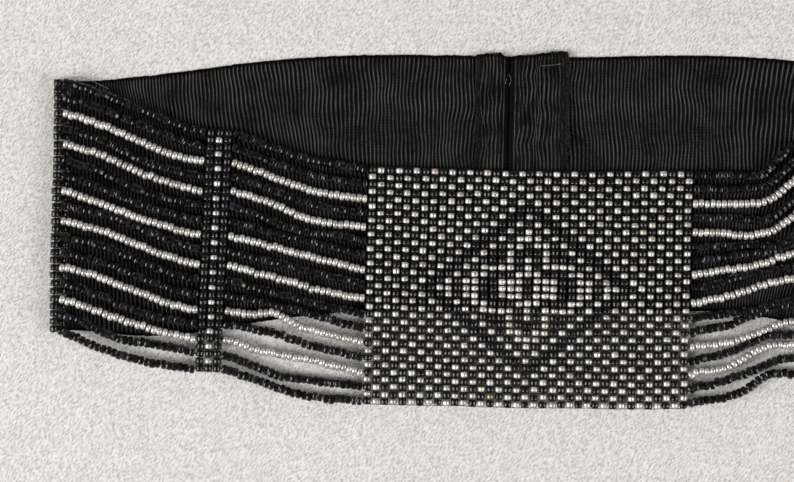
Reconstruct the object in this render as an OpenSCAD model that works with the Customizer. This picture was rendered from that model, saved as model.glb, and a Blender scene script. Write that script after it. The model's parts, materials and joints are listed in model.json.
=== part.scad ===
// Loom-woven seed-bead headband, lying flat as a closed loop.
// The beadwork is the front half and lies on top.
// A wide grosgrain ribbon is the back half and lies under it.
// Millimetres, +Z up, X along the band.
// The origin is under the middle of the band, on the surface that it lies on.

/* [Beads] */
// Outside diameter of a seed bead
bead_d = 2.1; // [1.8:0.05:2.2]
// Length of a bead in the woven cloth, along its hole
woven_bead_len = 1.65; // [1.4:0.05:1.7]
// Length of a bead on a fringe strand, along its hole
strand_bead_len = 1.52; // [1.2:0.02:1.7]
// Free play between two beads on a strand
bead_play = 0.06; // [0.04:0.01:0.2]
// Hole through a loose bead
bore_d = 0.7; // [0.6:0.05:1.0]

/* [Loom weave] */
// Columns of beads in the front panel, an odd number
panel_columns = 37; // [31:2:41]
// Rows of beads in every woven part, an odd number
rows = 33; // [29:4:37]
// Distance from one column to the next, across the beads
column_pitch = 2.4; // [2.35:0.05:2.6]
// Distance from one row to the next, along the holes
row_pitch = 2.0; // [1.95:0.05:2.1]
// Row distance where the weave spreads at the ribbon
bar_row_pitch = 2.1; // [2.0:0.05:2.2]
// Columns in each divider, an odd number
divider_columns = 3; // [3:2:5]
// Warp thread, which runs along the band
warp_d = 0.16; // [0.12:0.01:0.2]
// Weft, which fills a column's holes with both its passes
weft_d = 0.34; // [0.3:0.02:0.4]
// Free play between a warp and the weft that it crosses
thread_play = 0.06; // [0.05:0.01:0.1]

/* [Diamond motif] */
// Beads from the middle to the tip of the fine light diamond
diamond_reach = 10; // [10:1:11]
// Steps of dark beads round the fine light diamond
dark_ring = 2; // [2:1:4]
// Beads from the middle to the tip of a petal
petal_reach = 8; // [7:1:8]

/* [Fringe sections] */
// Clear distance along the band from the panel to a divider
inner_gap = 38.2; // [30:0.1:50]
// Clear distance along the band from a divider to the end bar
outer_gap = 38.7; // [30:0.1:50]
// How far a divider stands above the panel, across the band
divider_rise = 9.2; // [0:0.2:14]
// How far the fold stands above the panel, across the band
fold_rise = 20; // [8:0.2:26]

/* [Ribbon] */
// Width of the grosgrain ribbon
ribbon_w = 70; // [64:1:76]
// Thickness of the ribbon
ribbon_t = 0.5; // [0.4:0.05:0.6]
// How far the middle of the ribbon stands above the panel at the back seam
ribbon_rise = 28.3; // [20:0.1:34]
// Distance from the middle at which the ribbon has come down to the fold
ribbon_settled_x = 118; // [90:1:126]
// How sharply the left half comes down
left_ribbon_turn = 2.4; // [1:0.1:6]
// How sharply the right half comes down
right_ribbon_turn = 4; // [1:0.1:6]
// How far the right half arches up before it comes down
right_ribbon_arch = 1.6; // [0:0.1:4]
// Place of the back seam along the band
seam_x = -6.1; // [-12:0.1:12]
// Open slit between the two folded ribbon ends
seam_slit = 0.7; // [0.6:0.05:1.2]
// Length of the left end that is folded back
left_allowance = 8.4; // [6:0.1:14]
// Length of the right end that is folded back
right_allowance = 15.9; // [8:0.1:18]
// Gap between the ribbon and its folded-back end
fold_gap = 0.06; // [0.04:0.01:0.1]

/* [Lay] */
// Clear height between the beadwork and the ribbon under it
lay_gap = 0.35; // [0.3:0.05:1]

/* [End bar] */
// How far the top column stands back from the fold
bar_lean = 0.6; // [0.2:0.1:1.2]
// Gap between the last column and the ribbon's end
binding_gap = 0.15; // [0.1:0.05:0.5]
// How far the warps' ends reach over the ribbon
binding_reach = 4; // [3:0.5:8]
// Clear gap between a strand's end and the bead that it leaves
strand_clear = 0.25; // [0.2:0.05:0.5]

/* [Sewing] */
// Stitches along each raw edge of the ribbon
hem_stitches = 12; // [6:1:16]
// Sewing thread
stitch_d = 0.3; // [0.25:0.05:0.4]
// Distance from the raw edge to the stitches
hem_margin = 1.6; // [1:0.1:3]
// Length of one stitch
stitch_len = 2.2; // [1.6:0.1:3]

/* [Hidden] */
$fn = 48;
bead_r = bead_d / 2;
row_reach = (rows - 1) / 2;
panel_reach = (panel_columns - 1) / 2;
divider_reach = (divider_columns - 1) / 2;
warp_offset = (weft_d + warp_d) / 2 + thread_play;

// Heights of the bead axes: the weave clears the ribbon's folded ends, and the bar lies on the floor.
flap_top = 2 * ribbon_t + fold_gap;
weave_z = flap_top + lay_gap + bead_r;
floor_z = bead_r;

// Places along the band. Each hinge line is the axis of a bead column.
panel_edge_x = panel_reach * column_pitch;
divider_inner_x = panel_edge_x + bead_d + inner_gap;
divider_x = divider_inner_x + divider_reach * column_pitch;
divider_outer_x = divider_x + divider_reach * column_pitch;
bar_top_x = divider_outer_x + bead_d + outer_gap;
bar_fold_x = bar_top_x + bar_lean;
bar_inner_x = bar_fold_x - column_pitch;
bar_top_z = floor_z + sqrt(pow(column_pitch, 2) - pow(bar_lean, 2));
ribbon_end_x = bar_inner_x - bead_r - binding_gap;

// Places across the band, which centre the whole on the origin.
panel_low = row_reach * row_pitch + woven_bead_len / 2;
ribbon_peak = max([for (x = [0 : 2 : bar_fold_x]) ribbon_height(x)]);
panel_y = (panel_low - ribbon_w / 2 - ribbon_peak) / 2;
divider_y = panel_y + divider_rise;
fold_y = panel_y + fold_rise;

black = [0.06, 0.06, 0.07];
silver = [0.78, 0.76, 0.73];
thread_black = [0.12, 0.12, 0.13];
ribbon_black = [0.09, 0.09, 0.10];

SIDE_NODES = [
  "inner_black_strands", "inner_silver_strands",
  "divider_black_columns", "divider_silver_beads", "divider_warp_threads",
  "outer_black_strands", "outer_silver_strands",
  "end_bar_columns", "end_bar_warp_threads",
  "binding_column", "binding_threads", "ribbon", "hem_stitches"
];

// ---- Which bead is light ----

// The stepped flower inside the diamond. a and b count beads from the middle.
function petal_edge(a, b) =
  let (steps = a + max(b, 1))
  (a <= 2 || b <= 2) && (steps == petal_reach || steps == petal_reach - 1);
function petal_side(a, b) =
  (a == 2 && b >= 3 && b <= 4) || (b == 3 && a >= 2 && a <= petal_reach - 3);
function flower_heart(a, b) =
  (a == 0 && b >= 2 && b <= 4) || (a == 1 && b <= 2) || (a >= 2 && a <= 3 && b <= 1);
function flower(a, b) =
  a + b <= petal_reach && (petal_edge(a, b) || petal_side(a, b) || flower_heart(a, b));

// A checkerboard with a dark diamond, a fine light diamond in it, and the flower inside.
function light_in_panel(i, j) =
  let (a = abs(i), b = abs(j), steps = a + b)
  steps > diamond_reach + dark_ring ? steps % 2 == 1
  : steps == diamond_reach || (b == 0 && a == diamond_reach - 1) || flower(a, b);

function light_in_divider(i, j) = (abs(i) + abs(j)) % 2 == 1 && abs(i) < divider_reach;

// Strands leave the weave at every second row. k counts from the middle strand.
strand_reach = floor(row_reach / 2);
function light_strand(k) = abs(k) == 1 || abs(k) == 4 || abs(k) == 6;

// ---- Beads ----

// Half outline of a bead round its hole: share of the radius, share of the length.
bead_curve = [[0.62, -0.5], [1, -0.2], [1, 0.2], [0.62, 0.5]];

function bead_outline(len, at) = [for (p = bead_curve) [p[0] * bead_r, at + p[1] * len]];

// A bead on a thread of radius r, as a stretch of the outline from one thread surface to the next.
function threaded_bead(len, at, r) =
  concat([[r, at - len / 2]], bead_outline(len, at), [[r, at + len / 2]]);

// Turns an outline of [radius, distance] points round the Y axis.
module turned(outline) {
  rotate([-90, 0, 0])
    rotate_extrude()
      polygon(outline);
}

// A loose glass bead with its hole.
module ring_bead(len) {
  turned(threaded_bead(len, 0, bore_d / 2));
}

// A column of the weave: the weft with the dark beads that it carries.
module woven_column(pitch, dark_rows) {
  reach = row_reach * pitch + woven_bead_len / 2;
  turned(concat(
    [[0, -reach], [weft_d / 2, -reach]],
    [for (j = dark_rows) each threaded_bead(woven_bead_len, j * pitch, weft_d / 2)],
    [[weft_d / 2, reach], [0, reach]]));
}

// The warps lie straight between the rows, over the wefts and under them in turn.
module warp_threads(from, to, pitch) {
  run = to - from;
  for (j = [-row_reach - 1 : row_reach])
    translate([from[0], (j + 0.5) * pitch, from[1]])
      rotate([0, 90 - atan2(run[1], run[0]), 0])
        translate([(j % 2 == 0 ? 1 : -1) * warp_offset, 0, 0])
          cylinder(d = warp_d, h = norm(run));
}

// ---- Fringe strands ----

// A strand is its thread with a bead at every pitch, all turned as one.
module strand(start, end) {
  run = end - start;
  length = norm(run);
  count = floor(length / (strand_bead_len + bead_play));
  pitch = length / count;
  translate(start)
    rotate([0, acos(run[2] / length), atan2(run[1], run[0])])
      rotate_extrude()
        polygon(concat(
          [[0, 0], [weft_d / 2, 0]],
          [for (n = [0 : count - 1])
            each threaded_bead(strand_bead_len, (n + 0.5) * pitch, weft_d / 2)],
          [[weft_d / 2, length], [0, length]]));
}

// The strands of one section, from the column at one end to the column at the other.
module strands(from, from_pitch, to, to_pitch, light) {
  reach = bead_r + strand_clear;
  for (k = [-strand_reach : strand_reach])
    if (light_strand(k) == light)
      strand(from + [reach, 2 * k * from_pitch, 0], to + [-reach, 2 * k * to_pitch, 0]);
}

module inner_strands(light) {
  strands([panel_edge_x, panel_y, weave_z], row_pitch,
          [divider_inner_x, divider_y, weave_z], row_pitch, light);
}

module outer_strands(light) {
  strands([divider_outer_x, divider_y, weave_z], row_pitch,
          [bar_top_x, fold_y, bar_top_z], bar_row_pitch, light);
}

module inner_black_strands() { color(black) inner_strands(false); }
module inner_silver_strands() { color(silver) inner_strands(true); }
module outer_black_strands() { color(black) outer_strands(false); }
module outer_silver_strands() { color(silver) outer_strands(true); }

// ---- Woven parts ----

all_rows = [for (j = [-row_reach : row_reach]) j];

module panel_black_columns() {
  color(black)
    for (i = [-panel_reach : panel_reach])
      translate([i * column_pitch, panel_y, weave_z])
        woven_column(row_pitch, [for (j = all_rows) if (!light_in_panel(i, j)) j]);
}

module panel_silver_beads() {
  color(silver)
    for (i = [-panel_reach : panel_reach])
      for (j = all_rows)
        if (light_in_panel(i, j))
          translate([i * column_pitch, panel_y + j * row_pitch, weave_z])
            ring_bead(woven_bead_len);
}

module panel_warp_threads() {
  reach = panel_edge_x + weft_d / 2;
  color(thread_black)
    translate([0, panel_y, 0])
      warp_threads([-reach, weave_z], [reach, weave_z], row_pitch);
}

module divider_black_columns() {
  color(black)
    for (i = [-divider_reach : divider_reach])
      translate([divider_x + i * column_pitch, divider_y, weave_z])
        woven_column(row_pitch, [for (j = all_rows) if (!light_in_divider(i, j)) j]);
}

module divider_silver_beads() {
  color(silver)
    for (i = [-divider_reach : divider_reach])
      for (j = all_rows)
        if (light_in_divider(i, j))
          translate([divider_x + i * column_pitch, divider_y + j * row_pitch, weave_z])
            ring_bead(woven_bead_len);
}

module divider_warp_threads() {
  color(thread_black)
    translate([0, divider_y, 0])
      warp_threads([divider_inner_x - weft_d / 2, weave_z],
                   [divider_outer_x + weft_d / 2, weave_z], row_pitch);
}

// ---- The end bar, which turns the band round the fold ----

// Two columns: one on top, and one at the fold, on the hinge line.
module end_bar_columns() {
  color(black)
    for (at = [[bar_top_x, bar_top_z], [bar_fold_x, floor_z]])
      translate([at[0], fold_y, at[1]])
        woven_column(bar_row_pitch, all_rows);
}

module end_bar_warp_threads() {
  color(thread_black)
    translate([0, fold_y, 0])
      warp_threads([bar_top_x, bar_top_z], [bar_fold_x, floor_z], bar_row_pitch);
}

// The third column lies beside the ribbon and is sewn to it.
module binding_column() {
  color(black)
    translate([bar_inner_x, fold_y, floor_z])
      woven_column(bar_row_pitch, all_rows);
}

// The warps' ends come down from the third column and are sewn flat on the ribbon.
module binding_threads() {
  landing = [bar_inner_x - binding_reach, ribbon_t + warp_d / 2];
  color(thread_black)
    for (j = [-row_reach : 2 : row_reach - 1])
      translate([bar_inner_x, fold_y + (j + 0.5) * bar_row_pitch, floor_z - warp_offset])
        rotate([0, -90 - atan2(floor_z - warp_offset - landing[1], binding_reach), 0])
          cylinder(d = warp_d, h = norm([binding_reach, floor_z - warp_offset - landing[1]]));
}

// ---- The ribbon ----

// The ribbon's middle line drops to the fold, and is square to it there, as the flat loop lies.
// Its height is measured from the middle of the panel.
function ribbon_turn(x) = x < 0 ? left_ribbon_turn : right_ribbon_turn;
function ribbon_arch(x) = x < 0 ? 0 : right_ribbon_arch;
function ribbon_height(x) =
  let (way = 180 * min(1, abs(x) / ribbon_settled_x))
  ribbon_rise - (ribbon_rise - fold_rise) * pow((1 - cos(way)) / 2, ribbon_turn(x))
  + ribbon_arch(x) * pow(sin(way), 2);
function ribbon_middle(x) = panel_y + ribbon_height(x);

// Seen from above: two bowed edges, a fixed width apart.
module ribbon_outline() {
  steps = 28;
  xs = [for (n = [0 : steps]) bar_fold_x * (2 * n / steps - 1)];
  polygon(concat(
    [for (x = xs) [x, ribbon_middle(x) + ribbon_w / 2]],
    [for (n = [steps : -1 : 0]) [xs[n], ribbon_middle(xs[n]) - ribbon_w / 2]]));
}

// Seen from the long edge: flat to the seam, then folded back on itself.
module ribbon_section(from, to, allowance) {
  turn_r = flap_top / 2;
  way = sign(to - from);
  bend_x = to - way * turn_r;
  translate([min(from, bend_x), 0]) square([abs(bend_x - from), ribbon_t]);
  translate([min(bend_x, bend_x - way * allowance), ribbon_t + fold_gap]) square([allowance, ribbon_t]);
  translate([bend_x, turn_r])
    difference() {
      circle(turn_r);
      circle(fold_gap / 2);
      translate([way > 0 ? -2 * turn_r : 0, -turn_r]) square(2 * turn_r);
    }
}

// One length of ribbon, from the binding column to the back seam.
module ribbon(from, to, allowance) {
  color(ribbon_black)
    intersection() {
      translate([0, ribbon_w, 0])
        rotate([90, 0, 0])
          linear_extrude(height = 2 * ribbon_w)
            ribbon_section(from, to, allowance);
      translate([0, 0, -1])
        linear_extrude(height = flap_top + 2)
          ribbon_outline();
    }
}

// A row of stitches holds each folded end flat, near its raw edge.
module hem_stitches(raw_edge_x, way) {
  x = raw_edge_x + way * hem_margin;
  step = ribbon_w / hem_stitches;
  color(thread_black)
    for (n = [0.5 : hem_stitches - 0.5])
      translate([x, ribbon_middle(x) - ribbon_w / 2 + n * step + stitch_len / 2, flap_top])
        rotate([90, 0, 0])
          linear_extrude(height = stitch_len)
            intersection() {
              circle(d = stitch_d);
              translate([-stitch_d, 0]) square([2 * stitch_d, stitch_d]);
            }
}

left_seam_x = seam_x - seam_slit / 2;
right_seam_x = seam_x + seam_slit / 2;

module left_ribbon() { ribbon(-ribbon_end_x, left_seam_x, left_allowance); }
module right_ribbon() { ribbon(ribbon_end_x, right_seam_x, right_allowance); }
module left_hem_stitches() { hem_stitches(left_seam_x - flap_top / 2 - left_allowance, 1); }
module right_hem_stitches() { hem_stitches(right_seam_x + flap_top / 2 + right_allowance, -1); }

// ---- Nodes ----

panel_black_columns();
panel_silver_beads();
panel_warp_threads();
mirror([1, 0, 0]) inner_black_strands();  // left_inner_black_strands
mirror([1, 0, 0]) inner_silver_strands();  // left_inner_silver_strands
mirror([1, 0, 0]) divider_black_columns();  // left_divider_black_columns
mirror([1, 0, 0]) divider_silver_beads();  // left_divider_silver_beads
mirror([1, 0, 0]) divider_warp_threads();  // left_divider_warp_threads
mirror([1, 0, 0]) outer_black_strands();  // left_outer_black_strands
mirror([1, 0, 0]) outer_silver_strands();  // left_outer_silver_strands
mirror([1, 0, 0]) end_bar_columns();  // left_end_bar_columns
mirror([1, 0, 0]) end_bar_warp_threads();  // left_end_bar_warp_threads
mirror([1, 0, 0]) binding_column();  // left_binding_column
mirror([1, 0, 0]) binding_threads();  // left_binding_threads
left_ribbon();
left_hem_stitches();
inner_black_strands();  // right_inner_black_strands
inner_silver_strands();  // right_inner_silver_strands
divider_black_columns();  // right_divider_black_columns
divider_silver_beads();  // right_divider_silver_beads
divider_warp_threads();  // right_divider_warp_threads
outer_black_strands();  // right_outer_black_strands
outer_silver_strands();  // right_outer_silver_strands
end_bar_columns();  // right_end_bar_columns
end_bar_warp_threads();  // right_end_bar_warp_threads
binding_column();  // right_binding_column
binding_threads();  // right_binding_threads
right_ribbon();
right_hem_stitches();
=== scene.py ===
"""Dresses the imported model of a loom-woven seed-bead headband and sets it on a pale floor."""

import json
import math
import random

import bmesh
import bpy
from mathutils import Matrix, Vector, noise


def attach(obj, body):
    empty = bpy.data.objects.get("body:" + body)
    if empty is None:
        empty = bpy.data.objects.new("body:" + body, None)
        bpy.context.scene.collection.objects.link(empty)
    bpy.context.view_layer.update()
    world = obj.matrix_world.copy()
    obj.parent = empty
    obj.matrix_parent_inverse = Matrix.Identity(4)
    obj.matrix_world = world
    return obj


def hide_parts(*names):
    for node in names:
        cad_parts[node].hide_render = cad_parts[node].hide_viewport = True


bl_info = {
    "name": "Beaded headband",
    "version": (1, 0, 0),
    "blender": (4, 5, 0),
    "location": "3D View > Sidebar > Headband",
    "description": "A loom-woven seed-bead headband with a grosgrain back, laid flat",
    "category": "Add Mesh",
}

MM = 0.001
SIDES = {"left": -1, "right": 1}

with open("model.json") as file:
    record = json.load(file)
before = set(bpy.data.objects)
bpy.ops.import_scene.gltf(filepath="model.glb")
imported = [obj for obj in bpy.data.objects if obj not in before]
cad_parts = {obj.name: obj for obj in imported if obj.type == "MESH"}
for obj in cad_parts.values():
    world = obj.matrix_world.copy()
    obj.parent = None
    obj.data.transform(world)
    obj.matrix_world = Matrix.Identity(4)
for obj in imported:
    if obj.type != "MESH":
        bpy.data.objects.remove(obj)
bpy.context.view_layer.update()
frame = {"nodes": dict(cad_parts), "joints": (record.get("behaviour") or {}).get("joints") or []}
HINGES = {joint["name"]: Vector(joint["pos_m"]) for joint in frame["joints"]}

# noise_vector starts from the clock unless it is seeded.
noise.seed_set(5)


# ---- Colours and settings ----


def rgb(code):
    """Turns an sRGB hex colour into the linear values that a shader takes."""
    channels = [int(code[n : n + 2], 16) / 255 for n in (1, 3, 5)]
    return tuple(c / 12.92 if c <= 0.04045 else ((c + 0.055) / 1.055) ** 2.4 for c in channels)


def length_property(name, description, millimetres):
    """A size in metres that the panel shows with its unit."""
    return bpy.props.FloatProperty(
        name=name, description=description, default=millimetres * MM, precision=5, unit="LENGTH"
    )


def angle_property(name, description, degrees):
    """A turn that the panel shows in degrees."""
    return bpy.props.FloatProperty(
        name=name, description=description, default=math.radians(degrees), subtype="ANGLE"
    )


def count_property(name, description, count):
    """A whole number of beads."""
    return bpy.props.IntProperty(name=name, description=description, default=count)


def colour_property(name, description, code):
    """A colour given as the eye sees it."""
    return bpy.props.FloatVectorProperty(
        name=name, description=description, default=rgb(code), size=3, min=0, max=1, subtype="COLOR"
    )


class BeadSettings(bpy.types.PropertyGroup):
    """Sizes of the seed beads and how unevenly they sit."""

    panel_columns: count_property("Panel columns", "Columns of beads in the front panel", 37)
    rows: count_property("Rows", "Rows of beads in every woven part", 33)
    divider_columns: count_property("Divider columns", "Columns of beads in each divider", 3)
    woven_length: length_property("Woven bead length", "Bead length in the weave", 1.65)
    strand_length: length_property("Strand bead length", "Bead length on a fringe strand", 1.52)
    strand_play: length_property("Strand play", "Free thread from one strand bead to the next", 0.02)
    hole: length_property("Hole", "Diameter of the hole through a bead", 0.7)
    strand_clear: length_property("Strand clearance", "Thread between a strand and the weave", 0.3)
    weft: length_property("Weft", "Diameter of the doubled thread inside the beads", 0.34)
    warp: length_property("Warp", "Diameter of a thread along the band", 0.2)
    drift: length_property("Drift", "How far hand weaving wanders from its grid", 0.3)
    size_spread: bpy.props.FloatProperty(
        name="Size spread", description="Share by which beads differ in size", default=0.045
    )
    tilt: angle_property("Tilt", "How crooked a bead sits", 4.5)
    dark: colour_property("Dark glass", "Opaque black glass", "#0a090b")
    light: colour_property("Light glass", "The silver lining, seen through clear glass", "#dedad4")
    worn: colour_property("Worn lining", "A lining that has tarnished", "#8d7552")


class RibbonSettings(bpy.types.PropertyGroup):
    """Sizes and colours of the grosgrain ribbon."""

    width: length_property("Width", "Width of the ribbon", 70)
    thickness: length_property("Thickness", "Thickness of the cloth", 0.26)
    rib_pitch: length_property("Rib pitch", "Distance from one crosswise rib to the next", 1.04)
    rib_height: length_property("Rib height", "Height of a rib over the groove beside it", 0.3)
    pucker: length_property("Pucker", "How far the sewn ends stand off the ribbon", 0.95)
    cloth: colour_property("Cloth", "Black grosgrain", "#131211")
    thread: colour_property("Thread", "Black sewing and beading thread", "#1a191b")


class StageSettings(bpy.types.PropertyGroup):
    """Floor and camera."""

    floor: colour_property("Floor", "Pale undyed cotton", "#f6f4f2")
    roll: angle_property("Roll", "Turn of the camera", 1.2)
    picture_width: length_property("Picture width", "Width of what the camera sees", 216.8)
    lens: bpy.props.FloatProperty(name="Lens", description="Focal length in mm", default=85)


def settings():
    """The three groups of settings in the scene."""
    scene = bpy.context.scene
    return scene.headband_beads, scene.headband_ribbon, scene.headband_stage


# ---- Materials ----


def add_node(tree, kind, links=None, stops=(), **values):
    """Adds a shader node, with its links and settings."""
    return set_node(tree.nodes.new("ShaderNode" + kind), links, stops, **values)


def set_node(node, links=None, stops=(), **values):
    """Sets a shader node. links feeds its inputs, stops are a ramp's, and values set all the rest."""
    for name, value in values.items():
        label = name.replace("_", " ")
        socket = next((s for s in node.inputs if s.name.lower() == label and s.enabled), None)
        if socket is not None and not hasattr(type(node), name):
            socket.default_value = value
        else:
            setattr(node, name, value)
    for name, output in (links or {}).items():
        target = node.inputs[name] if isinstance(name, int) else next(
            s for s in node.inputs if s.name == name and s.enabled
        )
        node.id_data.links.new(output, target)
    for n, (position, colour) in enumerate(stops):
        elements = node.color_ramp.elements
        element = elements[n] if n < len(elements) else elements.new(1.0)
        element.position = position
        element.color = with_alpha(colour)
    return node


def with_alpha(colour):
    """A colour as a socket takes it."""
    return (*colour, 1.0)


def jet_black_glass(tree, shader):
    """Opaque jet glass, fire-polished: nearly black, with small highlights and a cool bloom on some."""
    beads, _, _ = settings()
    tone = add_node(tree, "Attribute", attribute_name="bead_tone").outputs["Fac"]
    colour = add_node(
        tree, "ValToRGB", {"Fac": tone},
        stops=(
            (0.0, rgb("#040405")), (0.6, beads.dark), (0.85, rgb("#111014")), (1.0, rgb("#202226"))
        ),
    )
    roughness = add_node(tree, "MapRange", {"Value": tone}, to_min=0.27, to_max=0.12)
    set_node(
        shader, {"Base Color": colour.outputs["Color"], "Roughness": roughness.outputs["Result"]},
        ior=1.52, specular_ior_level=0.45,
    )


def silver_lined_glass(tree, shader):
    """Clear glass round a silvered hole: the lining fills the bead with soft light, under a clear gloss, with
    a painted dark line and a painted dark rim of shade.
    """
    beads, _, _ = settings()
    tone = add_node(tree, "Attribute", attribute_name="bead_tone").outputs["Fac"]
    worn = add_node(tree, "Attribute", attribute_name="bead_wear").outputs["Fac"]
    hole = add_node(tree, "Attribute", attribute_name="bead_painted_dark_line").outputs["Fac"]
    bright = add_node(
        tree, "ValToRGB", {"Fac": tone},
        stops=(
            (0.0, rgb("#b9b3ad")), (0.35, beads.light), (0.9, rgb("#eeebe6")), (1.0, rgb("#d6c8c3"))
        ),
    )
    tarnished = add_node(
        tree, "Mix", {"Factor": worn, "A": bright.outputs["Color"]}, data_type="RGBA",
        b=with_alpha(beads.worn),
    )
    # Painted shade: a dark line along each woven bead, and round one end of a strand bead, where the glass
    # would show a darker streak.
    line = add_node(tree, "MapRange", {"Value": hole}, from_min=0.66, from_max=0.9, to_max=0.65)
    with_painted_line = add_node(
        tree, "Mix", {"Factor": line.outputs["Result"], "A": tarnished.outputs["Result"]},
        data_type="RGBA", b=with_alpha(rgb("#4c4743")),
    )
    # Painted shade: towards its rim, where it shows only clear glass and what is dark beside it, the bead is
    # painted dark.
    facing = add_node(tree, "LayerWeight", blend=0.5).outputs["Facing"]
    painted_rim_shade = add_node(tree, "MapRange", {"Value": facing}, from_min=0.45, from_max=0.9, to_max=0.85)
    with_painted_rim_shade = add_node(
        tree, "Mix", {"Factor": painted_rim_shade.outputs["Result"], "A": with_painted_line.outputs["Result"]},
        data_type="RGBA", b=with_alpha(rgb("#2e2a27")),
    )
    set_node(
        shader, {"Base Color": with_painted_rim_shade.outputs["Result"]}, metallic=0.6, roughness=0.36, coat_weight=0.8,
        coat_roughness=0.05, coat_ior=1.52,
    )


def waxed_beading_thread(tree, shader):
    """Black waxed beading thread: dull, with a faint twist along it."""
    _, ribbon, _ = settings()
    place = add_node(tree, "TexCoord").outputs["Object"]
    twist = add_node(tree, "TexNoise", {"Vector": place}, scale=1 / (0.4 * MM), detail=2.0)
    colour = add_node(
        tree, "ValToRGB", {"Fac": twist.outputs["Fac"]}, stops=((0.3, rgb("#0f0e10")), (0.7, ribbon.thread))
    )
    set_node(shader, {"Base Color": colour.outputs["Color"]}, roughness=0.55)


def worn_thread_end(tree, shader):
    """A pale grey end of worn thread, fuzzy and dull."""
    place = add_node(tree, "TexCoord").outputs["Object"]
    fuzz = add_node(tree, "TexNoise", {"Vector": place}, scale=1 / (0.6 * MM), detail=2.0)
    colour = add_node(
        tree, "ValToRGB", {"Fac": fuzz.outputs["Fac"]}, stops=((0.35, rgb("#4a4744")), (0.7, rgb("#8f8a84")))
    )
    set_node(shader, {"Base Color": colour.outputs["Color"]}, roughness=0.8)


def black_grosgrain(tree, shader):
    """Black viscose grosgrain: round crosswise ribs with a painted sheen on their crests, painted shade in
    the grooves, and fine warp ends.
    """
    _, ribbon, _ = settings()
    rib_light_and_shade = add_node(tree, "Attribute", attribute_name="rib_height").outputs["Fac"]
    fray = add_node(tree, "Attribute", attribute_name="frayed").outputs["Fac"]
    # The UV map is in metres along and across the ribbon.
    place = add_node(tree, "TexCoord").outputs["UV"]
    # Painted highlight and shade: the colour runs from black in the grooves to pale on the crests, as light
    # falls on the ribs.
    crest = add_node(
        tree, "ValToRGB", {"Fac": rib_light_and_shade},
        stops=((0.42, rgb("#010101")), (0.75, ribbon.cloth), (1.0, rgb("#6d6b6b"))),
    )
    # It has faded in patches.
    patches = add_node(tree, "TexNoise", {"Vector": place}, scale=1 / (9 * MM), detail=7.0, roughness=0.8)
    worn = add_node(tree, "MapRange", {"Value": patches.outputs["Fac"]}, from_min=0.35, from_max=0.65)
    faded = add_node(
        tree, "Mix", {"Factor": worn.outputs["Result"], "A": crest.outputs["Color"]}, data_type="RGBA",
        blend_type="MULTIPLY", b=with_alpha(rgb("#5a5857")),
    )
    # It holds a little lint, and where it has frayed it is a mat of broken fibres.
    lint = add_node(tree, "TexNoise", {"Vector": place}, scale=1 / (0.45 * MM), detail=1.0)
    dusty = add_node(tree, "MapRange", {"Value": lint.outputs["Fac"]}, from_min=0.6, from_max=0.8, to_max=0.3)
    fibres = add_node(tree, "TexNoise", {"Vector": place}, scale=1 / (0.3 * MM), detail=1.0)
    broken = add_node(tree, "MapRange", {"Value": fibres.outputs["Fac"]}, from_min=0.45, from_max=0.65)
    matted = add_node(tree, "Math", {0: broken.outputs["Result"], 1: fray}, operation="MULTIPLY")
    paler = add_node(
        tree, "Math", {0: dusty.outputs["Result"], 1: matted.outputs["Value"]}, operation="MAXIMUM"
    )
    colour = add_node(
        tree, "Mix", {"Factor": paler.outputs["Value"], "A": faded.outputs["Result"]}, data_type="RGBA",
        b=with_alpha(rgb("#282625")),
    )
    warp_ends = add_node(
        tree, "TexWave", {"Vector": place}, bands_direction="Y", scale=1 / (0.42 * MM * 2 * math.pi),
        distortion=1.2, detail=2.0, detail_scale=1.5,
    )
    bump = add_node(tree, "Bump", {"Height": warp_ends.outputs["Fac"]}, strength=0.5, distance=0.06 * MM)
    # The grooves lie too deep to catch any light, so the cloth has next to no gloss.
    set_node(
        shader, {"Base Color": colour.outputs["Result"], "Normal": bump.outputs["Normal"]},
        specular_ior_level=0.07, roughness=0.55,
    )


def undyed_cotton(tree, shader):
    """Plain undyed cotton drill: pale and matt, with a fine slanted weave."""
    _, _, stage = settings()
    place = add_node(tree, "TexCoord").outputs["Object"]
    # Slanted yarns, each seen for a few stitches, with finer yarns across them.
    along = add_node(
        tree, "Mapping", {"Vector": place}, vector_type="TEXTURE", rotation=(0, 0, math.radians(53)),
        scale=(5.0, 1, 1),
    )
    yarns = add_node(
        tree, "TexNoise", {"Vector": along.outputs["Vector"]}, scale=1 / (0.2 * MM), detail=0.0,
        distortion=0.1,
    )
    across = add_node(
        tree, "Mapping", {"Vector": place}, vector_type="TEXTURE", rotation=(0, 0, math.radians(-40)),
        scale=(1.8, 1, 1),
    )
    cross_yarns = add_node(
        tree, "TexNoise", {"Vector": across.outputs["Vector"]}, scale=1 / (0.18 * MM), detail=0.0
    )
    both = add_node(
        tree, "Math", {0: cross_yarns.outputs["Fac"], 2: yarns.outputs["Fac"]}, operation="MULTIPLY_ADD"
    )
    both.inputs[1].default_value = 0.45
    height = add_node(tree, "MapRange", {"Value": both.outputs["Value"]}, from_min=0.56, from_max=0.88)
    yarn = add_node(
        tree, "ValToRGB", {"Fac": height.outputs["Result"]},
        stops=((0.0, rgb("#c3bfbb")), (0.5, stage.floor), (1.0, rgb("#fefdfc"))),
    )
    cloud = add_node(tree, "TexNoise", {"Vector": place}, scale=1 / (14 * MM), detail=3.0)
    colour = add_node(
        tree, "Mix", {"Factor": cloud.outputs["Fac"], "A": yarn.outputs["Color"]}, data_type="RGBA",
        blend_type="MULTIPLY", b=with_alpha(rgb("#f6f4f1")),
    )
    bump = add_node(tree, "Bump", {"Height": height.outputs["Result"]}, strength=0.6, distance=0.1 * MM)
    set_node(
        shader, {"Base Color": colour.outputs["Result"], "Normal": bump.outputs["Normal"]},
        roughness=0.9, specular_ior_level=0.2,
    )


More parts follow.
